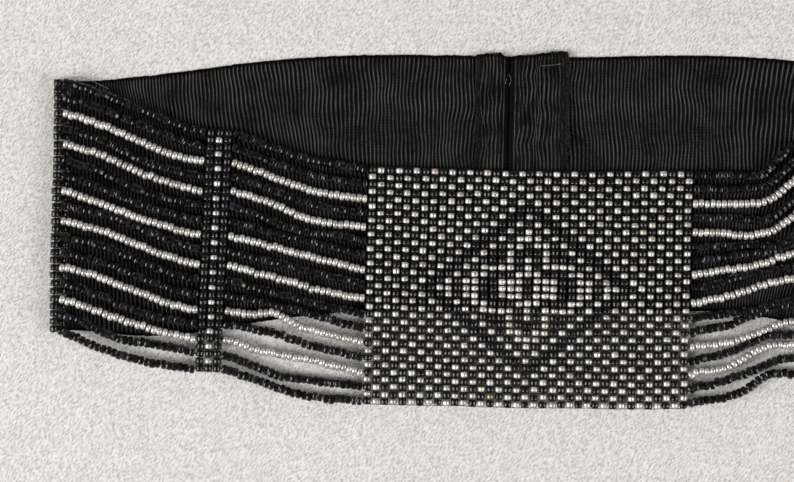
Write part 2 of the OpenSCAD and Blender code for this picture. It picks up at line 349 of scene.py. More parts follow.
def finish_of(builder):
    """The material that builder makes: named for it, made once and then shared."""
    material = bpy.data.materials.get(builder.__name__)
    if material is None:
        material = bpy.data.materials.new(builder.__name__)
        material.use_nodes = True
        builder(material.node_tree, material.node_tree.nodes["Principled BSDF"])
    return material


# ---- Pieces ----


def link_piece(name, data, finish, body, *nodes):
    """Puts a finished piece in the scene, on its body, in place of the plain nodes that it stands for."""
    data.name = name
    data.materials.append(finish_of(finish))
    piece = bpy.data.objects.new(name, data)
    bpy.context.scene.collection.objects.link(piece)
    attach(piece, body)
    if nodes:
        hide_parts(*nodes)
    return piece


def link_beads(name, template, places, finish, body, node):
    """One piece of many beads: a copy of the template at every place, which is (matrix, tone, wear)."""
    bm = bmesh.new()
    for matrix, tone, wear in places:
        bead = template.copy()
        bead.transform(matrix)
        for layer, value in (("bead_tone", tone), ("bead_wear", wear)):
            bead.attributes[layer].data.foreach_set("value", [value] * len(bead.vertices))
        bm.from_mesh(bead)
        bpy.data.meshes.remove(bead)
    mesh = bpy.data.meshes.new(name)
    bm.to_mesh(mesh)
    bm.free()
    link_piece(name, mesh, finish, body, node)


def link_threads(name, paths, diameter, body, *nodes, smooth=False, finish=waxed_beading_thread):
    """One piece of thread along every path, with closed ends."""
    curve = bpy.data.curves.new(name, "CURVE")
    curve.dimensions = "3D"
    curve.bevel_depth = diameter / 2
    curve.bevel_resolution = 1
    curve.use_fill_caps = True
    curve.resolution_u = 2
    for path in paths:
        spline = curve.splines.new("BEZIER" if smooth else "POLY")
        knots = spline.bezier_points if smooth else spline.points
        knots.add(len(path) - 1)
        for knot, point in zip(knots, path):
            knot.co = point if smooth else (*point, 1)
            if smooth:
                knot.handle_left_type = knot.handle_right_type = "AUTO"
    link_piece(name, curve, finish, body, *nodes)


# ---- Beads ----

# Halves of the beads' outlines, from the hole to the widest part: (share of the radius, share of the
# length). The woven black beads are the fullest ones.
WOVEN_DARK_OUTLINE = ((0.84, 0.5), (1.0, 0.42), (1.0, 0.14))
WOVEN_LIGHT_OUTLINE = ((0.76, 0.5), (0.98, 0.36), (1.0, 0.12))
STRAND_DARK_OUTLINE = ((0.62, 0.5), (0.9, 0.41), (1.0, 0.22))
STRAND_LIGHT_OUTLINE = ((0.5, 0.5), (0.88, 0.37), (1.0, 0.12))
# The hole's rim lies in from the bead's ends: its share of the length from the middle.
HOLE_RIM = 0.44
BEAD_SIDES = 8
CUT_SIDES = 9
# Turn of the dark line of painted shade on a light bead, from straight up.
PAINTED_LINE_TURN = math.radians(24)
# A slanting direction, along which no two corners of a bead lie at one place.
SORT_LINE = Vector((1.0, 1.618, 2.303))
UP = Vector((0, 0, 1))


def bead_mesh(length, outline, painted_line_along=False, cut=False):
    """One seed bead round the Y axis, with its hole, moulded round or cut with flat sides.

    The dark line of painted shade runs along the bead or round one end.
    """
    radius = bead_radius()
    half = [(settings()[0].hole / 2, HOLE_RIM * length), *((r * radius, y * length) for r, y in outline)]
    bm = bmesh.new()
    corners = [bm.verts.new((0, y, r)) for r, y in half]
    corners += [bm.verts.new((0, -y, r)) for r, y in reversed(half)]
    bmesh.ops.rotate(bm, verts=corners, cent=(0, 0, 0), matrix=Matrix.Rotation(PAINTED_LINE_TURN, 3, "Y"))
    edges = [bm.edges.new((a, b)) for a, b in zip(corners, corners[1:] + corners[:1])]
    bmesh.ops.spin(
        bm, geom=corners + edges, cent=(0, 0, 0), axis=(0, 1, 0), angle=math.tau,
        steps=CUT_SIDES if cut else BEAD_SIDES, use_merge=True,
    )
    bmesh.ops.remove_doubles(bm, verts=bm.verts, dist=0.001 * MM)
    bmesh.ops.recalc_face_normals(bm, faces=bm.faces)
    lining, _, _ = (bm.verts.layers.float.new(name) for name in ("bead_painted_dark_line", "bead_tone", "bead_wear"))
    # The light beads are painted dark along this line, as shade.
    for vert in bm.verts:
        x, y, z = vert.co
        on_painted_line = abs(math.atan2(x, z) - PAINTED_LINE_TURN) < 0.01 if painted_line_along else y > 0.2 * length
        vert[lining] = 1.0 if on_painted_line and math.hypot(x, z) > 0.9 * radius else 0.0
    for face in bm.faces:
        face.smooth = not cut
    # Merging leaves the corners in an order that changes from run to run.
    bm.verts.sort(key=lambda vert: vert.co.dot(SORT_LINE))
    bm.faces.sort(key=lambda face: face.calc_center_median().dot(SORT_LINE))
    mesh = bpy.data.meshes.new("bead")
    bm.to_mesh(mesh)
    bm.free()
    return mesh


# Seed beads differ more in length than across.
SPREAD_ACROSS, SPREAD_ALONG = 0.6, 1.4


def seat(point, along, rng, width=1.0, spin=0.12, uneven=1.0):
    """The matrix that sets a bead on its thread, a little crooked and a little off size."""
    beads, _, _ = settings()
    tilt, spread = beads.tilt * uneven, beads.size_spread * uneven
    direction = Vector(along).normalized()
    side = direction.cross(UP).normalized()
    direction = (direction + side * rng.gauss(0, tilt) + UP * rng.gauss(0, tilt)).normalized()
    side = direction.cross(UP).normalized()
    axes = Matrix((side, direction, side.cross(direction))).transposed().to_4x4()
    twist = Matrix.Rotation(rng.gauss(0, spin), 4, "Y")
    round_size = 1 + rng.gauss(0, spread * SPREAD_ACROSS)
    length = 1 + rng.gauss(0, spread * SPREAD_ALONG)
    size = Matrix.Diagonal((round_size * width, length, round_size, 1))
    return Matrix.Translation(point) @ axes @ size @ twist


def glint(rng):
    """A bead's place in its batch: most are alike, and a few stand out."""
    return min(1.0, abs(rng.gauss(0.35, 0.25)))


# ---- Places ----


def span(node):
    """Lowest corner, highest corner and size of a plain node."""
    corners = frame["nodes"][node].bound_box
    low, high = Vector(corners[0]), Vector(corners[6])
    return low, high, high - low


def middle_of(node):
    """Middle of a plain node's box."""
    low, high, _ = span(node)
    return (low + high) / 2


def bead_radius():
    """Radius of a bead, which is half the height of the panel."""
    return span("panel_black_columns")[2].z / 2


def row_reach():
    """Rows from the middle one to the last one."""
    return (settings()[0].rows - 1) // 2


def rows():
    """Every row, counted from the middle one."""
    return range(-row_reach(), row_reach() + 1)


def smooth_step(t):
    """Rises softly from 0 to 1 as t does, and stays level outside."""
    t = min(1.0, max(0.0, t))
    return t * t * (3 - 2 * t)


def bell(t):
    """1 at 0, and next to nothing two steps away."""
    return math.exp(-(t**2))


def bumps(x, y, z):
    """Smooth random bumps of about one unit across, from -1 to 1."""
    return noise.noise(Vector((x, y, z)))


# The drift of hand weaving comes in long waves and shorter ones: (length, share). It is least in height.
DRIFT_WAVES = ((17 * MM, 1.0), (6 * MM, 0.5))
DRIFT_IN_HEIGHT = 0.25


def wander(point):
    """How far hand weaving puts a bead off its grid: a smooth drift, so that neighbours move together."""
    wave = sum((share * noise.noise_vector(point / reach) for reach, share in DRIFT_WAVES), Vector())
    wave.z *= DRIFT_IN_HEIGHT
    return wave * settings()[0].drift


# How each part has settled: how far its columns lean along the band for each metre across it, how far
# its rows climb for each metre along it, how far its rows have drawn in, how far it has slipped across
# the band, and how far the middles of its rows sag.
SETTLED = {
    "panel": (0.005, 0.006, 0.985, 0.2 * MM, 0.5 * MM),
    "left_divider": (0.024, 0.0, 1.008, -0.7 * MM, 0.0),
    "left_bar": (0.0, 0.0, 1.0, -0.3 * MM, 0.0),
}
UNSETTLED = (0.0, 0.0, 1.0, 0.0, 0.0)
# Share of a row's pitch by which the outermost warps lie closer in.
WARP_HUG = 0.06


class WovenPart:
    """A woven part: the axes of its columns, and the places of its beads."""

    def __init__(self, node, axes, name):
        beads, _, _ = settings()
        self.lean, self.climb, draw_in, slip, self.sag = SETTLED.get(name, UNSETTLED)
        self.axes = axes
        self.middle_x = (axes[0][0] + axes[-1][0]) / 2
        self.middle_y = middle_of(node).y + slip
        self.row_pitch = (span(node)[2].y - beads.woven_length) / (beads.rows - 1) * draw_in

    def bead(self, column, row):
        """The place of a bead. row counts from the middle one."""
        x, z = self.axes[column]
        across = row * self.row_pitch
        along = x - self.middle_x
        reach = max(abs(self.axes[0][0] - self.middle_x), MM)
        drop = self.sag * (1 - (along / reach) ** 2) - self.climb * along
        point = Vector((x + self.lean * across, self.middle_y + across - drop, z))
        return point + wander(point)

    def gap(self, column, row):
        """The place between a row and the next one, where a warp crosses the column."""
        place = (self.bead(column, row) + self.bead(column, row + 1)) / 2
        # The outermost warps hug the last beads.
        toward_them = (row < -row_reach()) - (row >= row_reach())
        place.y += toward_them * WARP_HUG * self.row_pitch
        return place


def flat_part(node, columns, name):
    """A part whose columns lie side by side."""
    low, _, size = span(node)
    radius = bead_radius()
    step = (size.x - 2 * radius) / (columns - 1)
    axes = [(low.x + radius + n * step, middle_of(node).z) for n in range(columns)]
    return WovenPart(node, axes, name)


def panel_part():
    """The front panel."""
    return flat_part("panel_black_columns", settings()[0].panel_columns, "panel")


def divider_part(side):
    """The narrow divider between two sections of fringe."""
    return flat_part(side + "_divider_black_columns", settings()[0].divider_columns, side + "_divider")


def bar_part(side):
    """The end bar: the top column, and the one at the fold."""
    node = side + "_end_bar_columns"
    low, high, _ = span(node)
    radius = bead_radius()
    top_x = low.x + radius if side == "right" else high.x - radius
    fold_x = HINGES[side + "_fold_hinge"].x
    return WovenPart(node, [(top_x, high.z - radius), (fold_x, low.z + radius)], side + "_bar")


def binding_part(side):
    """The column beside the ribbon's end."""
    node = side + "_binding_column"
    middle = middle_of(node)
    return WovenPart(node, [(middle.x, middle.z)], side + "_bar")


# ---- Which bead is light ----

# Places are counted from the middle: i columns along the band, j rows across it, or k strands across it.


def light_in_panel(i, j):
    """A checkerboard round a dark diamond, a fine light diamond in it, and a stepped flower inside."""
    a, b = abs(i), abs(j)
    steps = a + b
    if steps > 12:
        return steps % 2 == 1
    if steps == 10 or (a, b) == (9, 0):
        return True
    if steps > 8:
        return False
    petal_edge = (a <= 2 or b <= 2) and a + max(b, 1) in (7, 8)
    petal_side = (a == 2 and b in (3, 4)) or (b == 3 and 2 <= a <= 5)
    heart = (a == 0 and 2 <= b <= 4) or (a == 1 and b <= 2) or (a in (2, 3) and b <= 1)
    return petal_edge or petal_side or heart


def light_in_divider(i, j):
    """Every second bead of the middle column."""
    return i == 0 and j % 2 == 1


def never_light(*_):
    """A part that is black throughout."""
    return False


def light_strand(k):
    """The light strands of a section, alike above and below its middle."""
    return abs(k) in (1, 4, 6)


# ---- Woven parts ----

# Widths of woven beads, as shares of the even size: the black ones fill the gaps beside the light ones.
DARK_WIDTH = 1.09
LIGHT_WIDTH = 1.02
LIGHT_LENGTH = 0.9
# Those beside a fold are narrower and evener, so that they stay clear of each other as it opens.
FOLD_WIDTH = 0.97
FOLD_UNEVEN = 0.5
# How far a woven bead sits off its place, along and across the band, in millimetres.
JOG_X, JOG_Y = 0.06, 0.05
# Shares of the woven light beads whose lining has tarnished, and has begun to.
TARNISHED, TARNISHING = 0.006, 0.06
# How far the threads reach past the last bead, in lengths of a bead and in radii of one.
WEFT_END, WARP_END = 0.55, 0.6


def wefts(part):
    """One thread path through every column."""
    end = Vector((0, settings()[0].woven_length * WEFT_END, 0))
    paths = []
    for column in range(len(part.axes)):
        path = [part.bead(column, row) for row in rows()]
        paths.append([path[0] - end, *path[1:-1], path[-1] + end])
    return paths


def warps(part):
    """One thread path between every two rows, over a weft and under the next, and a little past the ends."""
    beads, _, _ = settings()
    rise = UP * (beads.weft + beads.warp) / 2
    columns = range(len(part.axes))
    paths = []
    for row in range(-row_reach() - 1, row_reach() + 1):
        path = [part.gap(column, row) + (rise if (row + column) % 2 else -rise) for column in columns]
        run = (path[-1] - path[0]).normalized() * WARP_END * bead_radius()
        paths.append([path[0] - run, *path, path[-1] + run])
    return paths


def woven_beads(part, light, is_light, rng):
    """Places for the light or the dark beads of a part."""
    middle = (len(part.axes) - 1) / 2
    places = []
    for column in range(len(part.axes)):
        beside_fold = part.axes[column][1] < 2 * bead_radius()
        for row in rows():
            if is_light(round(column - middle), row) != light:
                continue
            point = part.bead(column, row) + Vector((rng.gauss(0, JOG_X), rng.gauss(0, JOG_Y), 0)) * MM
            along = part.bead(column, row + 1) - part.bead(column, row - 1)
            wear = 0.0
            if light and rng.random() < TARNISHED:
                wear = rng.uniform(0.5, 1.0)
            elif light and rng.random() < TARNISHING:
                wear = rng.uniform(0.05, 0.3)
            if beside_fold:
                place = seat(point, along, rng, FOLD_WIDTH, uneven=FOLD_UNEVEN)
            else:
                place = seat(point, along, rng, LIGHT_WIDTH if light else DARK_WIDTH)
            places.append((place, glint(rng), wear))
    return places


def link_dark_beads(part, stem, body, node, is_light, rng):
    """Makes the piece of a woven part's black beads."""
    template = bead_mesh(settings()[0].woven_length, WOVEN_DARK_OUTLINE)
    places = woven_beads(part, False, is_light, rng)
    link_beads(stem + "_jet_beads", template, places, jet_black_glass, body, node)


def weave_pieces(part, stem, body, nodes, is_light, seed):
    """Makes the beads and threads of a woven part. nodes names the plain nodes: dark, warp and light."""
    beads, _, _ = settings()
    rng = random.Random(seed)
    link_dark_beads(part, stem, body, nodes["dark"], is_light, rng)
    if "light" in nodes:
        template = bead_mesh(LIGHT_LENGTH * beads.woven_length, WOVEN_LIGHT_OUTLINE, painted_line_along=True)
        places = woven_beads(part, True, is_light, rng)
        link_beads(stem + "_silver_lined_beads", template, places, silver_lined_glass, body, nodes["light"])
    link_threads(stem + "_wefts", wefts(part), beads.weft, body)
    link_threads(stem + "_warps", warps(part), beads.warp, body, nodes["warp"])


# How a sewn thread end lies: (share of its length, height over the floor).
SEWN_END = ((0.35, 0.66 * MM), (0.7, 0.64 * MM), (1.0, 0.62 * MM))


def make_binding(side, seed):
    """The column beside the ribbon's end, and the warps' ends that are sewn down on the ribbon."""
    beads, _, _ = settings()
    rng = random.Random(seed)
    part = binding_part(side)
    stem, body = side + "_binding", side + "_ribbon_half"
    link_dark_beads(part, stem, body, stem + "_column", never_light, rng)
    link_threads(stem + "_weft", wefts(part), beads.weft, body)
    size = span(stem + "_threads")[2]
    ends = []
    for row in range(-row_reach(), row_reach(), 2):
        start = part.gap(0, row) - UP * (beads.weft + beads.warp) / 2
        reach = size.x + rng.uniform(-0.8, 0.2) * MM
        landing = start + Vector((-SIDES[side] * reach, rng.gauss(0, 0.3) * MM, 0))
        end = [start]
        for share, height in SEWN_END:
            point = start.lerp(landing, share)
            point.z = height
            end.append(point)
        ends.append(end)
    link_threads(stem + "_thread_ends", ends, beads.warp, body, stem + "_threads", smooth=True)


# ---- Fringe strands ----

# How the strands of each section lie, from their inner end to their outer one. For some strands:
# (share of the rise taken in one slope, where that slope begins, where it ends, height of a bow in
# millimetres, where the bow is, how wide it is). The strands between them lie in between.
STRAND_LAY = {
    "left_inner": {
        8: (0.2, 0.0, 1.0, -1.4, 0.55, 0.5),
        6: (0.2, 0.0, 1.0, -1.8, 0.45, 0.5),
        4: (0.2, 0.0, 1.0, -1.9, 0.38, 0.28),
        1: (0.0, 0.0, 1.0, 0.2, 0.8, 0.3),
        -1: (0.1, 0.0, 1.0, -0.6, 0.35, 0.3),
        -3: (0.1, 0.0, 1.0, 0.6, 0.6, 0.3),
        -4: (0.0, 0.0, 1.0, 2.4, 0.65, 0.15),
        -5: (0.2, 0.0, 1.0, 0.8, 0.72, 0.2),
        -6: (0.0, 0.0, 1.0, -0.9, 0.72, 0.2),
        -7: (0.0, 0.0, 1.0, -2.2, 0.55, 0.4),
        -8: (0.0, 0.0, 1.0, -2.2, 0.42, 0.4),
    },
    "left_outer": {
        8: (0.5, 0.0, 1.0, 0.2, 0.5, 0.4),
        6: (0.5, 0.0, 1.0, -0.7, 0.35, 0.3),
        4: (0.6, 0.0, 1.0, -0.6, 0.4, 0.3),
        1: (0.3, 0.0, 1.0, -0.5, 0.5, 0.4),
        -1: (0.3, 0.0, 1.0, 0.8, 0.75, 0.3),
        -4: (0.8, 0.0, 1.0, 0.0, 0.5, 0.3),
        -6: (0.3, 0.0, 1.0, -0.9, 0.45, 0.4),
        -7: (0.2, 0.0, 1.0, -2.1, 0.58, 0.25),
        -8: (0.0, 0.0, 1.0, -2.3, 0.5, 0.6),
    },
    "right_inner": {
        8: (0.95, 0.45, 0.75, -0.5, 0.5, 0.3),
        6: (0.9, 0.5, 0.85, 0.2, 0.6, 0.2),
        4: (0.9, 0.5, 0.95, -1.0, 0.4, 0.15),
        3: (0.8, 0.6, 1.0, 0.0, 0.5, 0.2),
        1: (0.2, 0.4, 0.9, -0.3, 0.3, 0.2),
        -1: (0.0, 0.0, 1.0, 1.3, 0.62, 0.25),
        -2: (0.2, 0.4, 0.9, -0.4, 0.5, 0.3),
        -3: (0.0, 0.0, 1.0, 2.2, 0.65, 0.3),
        -4: (0.5, 0.2, 0.75, 0.4, 0.8, 0.2),
        -5: (0.0, 0.0, 1.0, 2.8, 0.6, 0.25),
        -6: (0.3, 0.2, 0.6, 2.7, 0.64, 0.25),
        -7: (0.0, 0.0, 1.0, 3.6, 0.72, 0.3),
        -8: (0.3, 0.3, 0.6, 2.9, 0.68, 0.25),
    },
    "right_outer": {
        8: (0.5, 0.0, 1.0, -0.6, 0.4, 0.3),
        3: (0.6, 0.0, 1.0, 0.4, 0.6, 0.3),
        -3: (0.4, 0.0, 1.0, -0.5, 0.4, 0.3),
        -8: (0.2, 0.0, 1.0, -1.8, 0.5, 0.5),
    },
}
# Strands that leave the panel a little above their row: (section, strand): millimetres.
LIFTED_STARTS = {("right_inner", -6): 1.0, ("right_inner", -7): 0.9, ("right_inner", -8): 0.8}
# Steps in which a strand's line is worked out, and how many of them lie between two points of its thread.
PATH_STEPS = 60
THREAD_STEPS = 4
# Widths of strand beads, as shares of the even size.
STRAND_LIGHT_WIDTH = 1.17
STRAND_DARK_WIDTH = 1.18
# How far a strand bead sits off its thread, across the band and in height, in millimetres.
STRAND_JOG_Y, STRAND_JOG_Z = 0.12, 0.05
# Share of the light strand beads whose lining has begun to tarnish.
STRAND_TARNISHING = 0.08


def strand_lay(section, k):
    """The six values of STRAND_LAY for any strand."""
    known = STRAND_LAY[section]
    above = min(n for n in known if n >= k)
    below = max(n for n in known if n <= k)
    share = (k - below) / (above - below) if above != below else 0.0
    return [a + (b - a) * share for a, b in zip(known[below], known[above])]


def strand_path(section, k, start, end, rng):
    """The line of a strand from the weave at its inner end to the weave at its outer end."""
    steep, begin, finish, bow, where, width = strand_lay(section, k)
    if k not in STRAND_LAY[section]:
        bow += rng.gauss(0, 0.4)
    lift = rng.uniform(0.0, 0.25)
    start_lift = LIFTED_STARTS.get((section, k), 0)
    kinks = 10.0 * sorted(STRAND_LAY).index(section) + 3.7 * k
    path = []
    for n in range(PATH_STEPS + 1):
        t = n / PATH_STEPS
        # Both ends are held by the weave.
        free = math.sin(math.pi * t)
        rise = (1 - steep) * t + steep * smooth_step((t - begin) / (finish - begin))
        off_line = free**0.5 * (bow * bell((t - where) / width) + 0.3 * bumps(kinks, t * 10.0, 0.5))
        off_line += start_lift * (1 - t) * smooth_step(t / 0.04)
        point = start.lerp(end, t)
        point.y = start.y + (end.y - start.y) * rise + off_line * MM
        point.z += lift * free * MM
        path.append(point)
    return path


def along_path(path, spacing):
    """Points and directions at equal steps along a path, centred on each step."""
    lengths = [0.0]
    for a, b in zip(path, path[1:]):
        lengths.append(lengths[-1] + (b - a).length)
    count = max(1, round(lengths[-1] / spacing))
    step = lengths[-1] / count
    found, piece = [], 0
    for n in range(count):
        want = (n + 0.5) * step
        while lengths[piece + 1] < want:
            piece += 1
        share = (want - lengths[piece]) / (lengths[piece + 1] - lengths[piece])
        found.append((path[piece].lerp(path[piece + 1], share), path[piece + 1] - path[piece]))
    return found


def fringe_section(section, inner, inner_column, outer, outer_column, seed):
    """The strands of one section, between a column of one woven part and a column of the next."""
    beads, _, _ = settings()
    rng = random.Random(seed)
    side = section.split("_")[0]
    out = Vector((SIDES[side] * (bead_radius() + beads.strand_clear), 0, 0))
    places = {True: [], False: []}
    threads = []
    # There is a strand at every other row.
    reach = row_reach() // 2
    for k in range(-reach, reach + 1):
        start = inner.bead(inner_column, 2 * k) + out
        end = outer.bead(outer_column, 2 * k) - out
        path = strand_path(section, k, start, end, rng)
        light = light_strand(k)
        for point, along in along_path(path, beads.strand_length + beads.strand_play):
            point += Vector((0, rng.gauss(0, STRAND_JOG_Y), rng.gauss(0, STRAND_JOG_Z))) * MM
            toward_right = along if along.x > 0 else -along
            wear = rng.uniform(0.05, 0.35) if light and rng.random() < STRAND_TARNISHING else 0.0
            # The black beads are the less even ones, and lie any way round.
            if light:
                place = seat(point, toward_right, rng, STRAND_LIGHT_WIDTH)
            else:
                place = seat(point, toward_right, rng, STRAND_DARK_WIDTH, spin=2.0, uneven=1.1)
            places[light].append((place, glint(rng), wear))
        threads.append([path[0] - out * 0.8, *path[::THREAD_STEPS], path[-1] + out * 0.8])
    stem, body = section + "_strand", section + "_fringe"
    template = bead_mesh(beads.strand_length, STRAND_DARK_OUTLINE, cut=True)
    link_beads(
        stem + "_jet_beads", template, places[False], jet_black_glass, body, section + "_black_strands"
    )
    template = bead_mesh(beads.strand_length, STRAND_LIGHT_OUTLINE)
    link_beads(
        stem + "_silver_lined_beads", template, places[True], silver_lined_glass, body,
        section + "_silver_strands",
    )
    link_threads(stem + "_threads", threads, beads.weft, body)


# ---- Ribbon ----

# Lengths of the folded ends, and the stitches that pucker them: (distance from the seam, distance
# above the ribbon's middle), in millimetres.
ALLOWANCE = {"left": 8.4 * MM, "right": 15.9 * MM}
PULLS = {
    "left": [(7.0, 24.5), (4.4, 25), (6.0, 17), (5.0, 10)],
    "right": [(6.6, 31), (6.0, 26), (7.0, 20.5), (6.2, 15), (6.8, 9.5)],
}
# How sharply each half of the ribbon comes down, and how far it arches up before that.
RIBBON_LAY = {"left": (2.4, 0.0), "right": (4.0, 1.6 * MM)}
# Distance from the middle at which the ribbon has come down to the fold.
RIBBON_SETTLED = 118 * MM
# Where the end bar gathers it: share of its width, distance from the middle, and over what length.
GATHER = (0.026, 105 * MM, 20 * MM)
# How the left half's lower edge sags before the fold: how far, where, and over what length.
SAG = (0.9 * MM, -102 * MM, 14 * MM)
# How its ribs waver: how far, over what length, and from which layer of the noise.
WAVERS = ((1.3 * MM, 16 * MM, 2.0), (0.45 * MM, 6 * MM, 5.0))
# Its selvedge, in shares of the half width: where it begins, and how soon it is flat.
SELVEDGE = (0.965, 0.02)
# At the seam the lower layers meet, and the folded ends draw back, so a groove stays between them, painted
# dark as shade.
SEAM_REACH = 0.76 * MM
SEAM_DRAWBACK = 0.4 * MM
# Height above the ribbon's middle up to which the beadwork presses the folded ends flat, and over what
# height they then come free, in millimetres.
PRESSED, FREED = 5.5, 5.0
# How a folded end waves: how far, over what lengths across and along the ribbon, and from which layer of
# the noise, in millimetres.
FLAP_WAVES = ((0.8, 7.0, 9.0, 1.0), (0.25, 3.0, 2.5, 7.0))
# How far round it a stitch pulls the cloth, along and across the ribbon, in millimetres.
PULL_REACH = (1.7, 2.6)
# How far the folded ends have slid up past the ribbon's edge, at their fold and at their cut edge.
FLAP_SHIFT = {"left": (1.2, 0.2), "right": (0.1, 1.8)}
# Width of the cut edge that has lost its ribs, number of its loose fibres, and distance of a tuft of
# them from the seam, in millimetres.
FRAYED = {"left": 1.6, "right": 2.8}
FIBRES = {"left": 110, "right": 260}
TUFTS = {"left": 3.0, "right": 11.0}
TUFT_FIBRES = 9
FIBRE_WIDTH = 0.1 * MM
# Where a tuft is rooted, and the last fibres are, as a share of the half width.
LAST_FIBRE = 0.985
# The grid of the cloth.
FACES_A_RIB = 4
FACES_ACROSS = 60
# How much darker the cloth is painted in the creases of its folded end, as shade.
PAINTED_CREASE_SHADE = 0.14


class RibbonLine:
    """The ribbon's middle line, which comes down from the seam to the folds."""

    def __init__(self):
        _, ribbon, _ = settings()
        self.panel_y = middle_of("panel_black_columns").y
        self.fold_rise = middle_of("left_binding_column").y - self.panel_y
        self.seam_rise = span("left_ribbon")[1].y - ribbon.width / 2 - self.panel_y

    def middle(self, x):
        turn, arch = RIBBON_LAY["left" if x < 0 else "right"]
        way = math.pi * min(1.0, abs(x) / RIBBON_SETTLED)
        drop = ((1 - math.cos(way)) / 2) ** turn
        height = self.seam_rise - (self.seam_rise - self.fold_rise) * drop + arch * math.sin(way) ** 2
        return self.panel_y + height

    def slope(self, x):
        return (self.middle(x + MM) - self.middle(x - MM)) / (2 * MM)


class RibbonHalf:
    """Half of the ribbon, from the fold to the seam, with its end folded back on itself."""

    def __init__(self, side):
        _, self.look, _ = settings()
        low, high, size = span(side + "_ribbon")
        self.side = side
        self.way = -SIDES[side]
        self.line = RibbonLine()
        self.start_x, seam_x = (low.x, high.x) if side == "left" else (high.x, low.x)
        self.half_height = size.z / 2
        # Two layers lie on each other, with a little room between them.
        self.layer = 0.48 * size.z
        self.turn_radius = self.half_height - self.layer / 2
        self.bend_x = seam_x - self.way * self.half_height
        self.flat_run = abs(self.bend_x - self.start_x)
        self.turn_run = math.pi * self.turn_radius
        self.allowance = ALLOWANCE[side] - SEAM_DRAWBACK
        self.length = self.flat_run + self.turn_run + self.allowance

    def section(self, along):
        """Seen from the long edge: place along the band, height, and distance onto the folded end."""
        reach = SEAM_REACH * smooth_step((along - self.flat_run + 3 * MM) / (3 * MM))
        if along <= self.flat_run:
            return self.start_x + self.way * (along + reach), self.layer / 2, 0.0
        turned = min(1.0, (along - self.flat_run) / self.turn_run)
        back = max(0.0, along - self.flat_run - self.turn_run)
        draw = smooth_step((turned - 0.1) / 0.4)
        out = self.turn_radius * math.sin(math.pi * turned) + reach * (1 - draw) - SEAM_DRAWBACK * draw
        height = self.half_height - self.turn_radius * math.cos(math.pi * turned)
        return self.bend_x + self.way * (out - back), height, back

    def surface(self, along, across, crest):
        """A point of the cloth. across runs from -1 to 1, and crest from 0 in a groove to 1 on a rib."""
        x, z, back = self.section(along)
        share, begin, reach = GATHER
        v = across * self.look.width / 2 * (1 - share * smooth_step((abs(x) - begin) / reach))
        y = self.line.middle(x) + v + 0.15 * MM * bumps(x / (6 * MM), across, 4.0)
        if self.side == "left" and v < 0:
            depth, place, reach = SAG
            y -= depth * (v / self.look.width * 2) ** 2 * bell((x - place) / reach)
        # Its edges are a little uneven, where the filling threads turn back.
        y += 0.2 * MM * smooth_step((abs(across) - 0.92) / 0.08) * bumps(x / (1.1 * MM), across, 8.0)
        # Its ribs stay square to its edges.
        x -= self.line.slope(x) * v
        # They waver, but not where the ribbon ends or turns.
        free = smooth_step((along - 6 * MM) / (8 * MM)) * smooth_step((self.flat_run - along) / (6 * MM))
        x += free * sum(size * bumps(x / reach, v / reach, layer) for size, reach, layer in WAVERS)
        if back > 0:
            shift = self.pucker(v / MM, back / MM)
            x, y, z = x + shift.x, y + shift.y, z + shift.z
        flatness = 0.6 * selvedge(across)
        z += (crest - 0.5) * self.look.rib_height * (1 - flatness)
        return Vector((x, y, z))

    def pucker(self, v, back):
        """How the stitches pull the folded end about. v and back are in millimetres."""
        free = smooth_step((v - PRESSED) / FREED) * smooth_step(back / 1.5)
        shift_x = free * sum(
            size * bumps(v / wide, back / deep, layer + self.way) for size, wide, deep, layer in FLAP_WAVES
        )
        sink = 0.0
        for pull_back, pull_v in PULLS[self.side]:
            away = back - pull_back
            pull = bell(away / PULL_REACH[0]) * bell((v - pull_v) / PULL_REACH[1])
            shift_x += self.way * 0.6 * away * pull
            sink = max(sink, pull)
        swell = 0.55 + 0.5 * bumps(back / 3.5, v / 6, 5.0)
        rise = self.look.pucker / MM * free * swell * (1 - 0.9 * sink)
        # Its top edge is ragged.
        ragged = 0.5 * smooth_step((v - 32.5) / 2) * bumps(back / 2, 3.0, self.way)
        at_fold, at_edge = FLAP_SHIFT[self.side]
        slide = at_fold + (at_edge - at_fold) * back * MM / self.allowance
        return Vector((shift_x, slide * free + ragged, rise)) * MM

    def top_of_flap(self, back, v):
        """A point on top of the folded end, by its distance from its fold and from the ribbon's middle."""
        point = self.surface(self.flat_run + self.turn_run + back, v / (self.look.width / 2), 1.0)
        point.z += self.look.thickness / 2
        return point


def selvedge(across):
    """0 in the cloth and 1 on its selvedges."""
    begin, reach = SELVEDGE
    return smooth_step((abs(across) - begin) / reach)


def rib_crest(phase):
    """Height of the cloth across one rib, from 0 in the groove to 1 on the crest."""
    return math.sin(math.pi * phase) ** 1.5


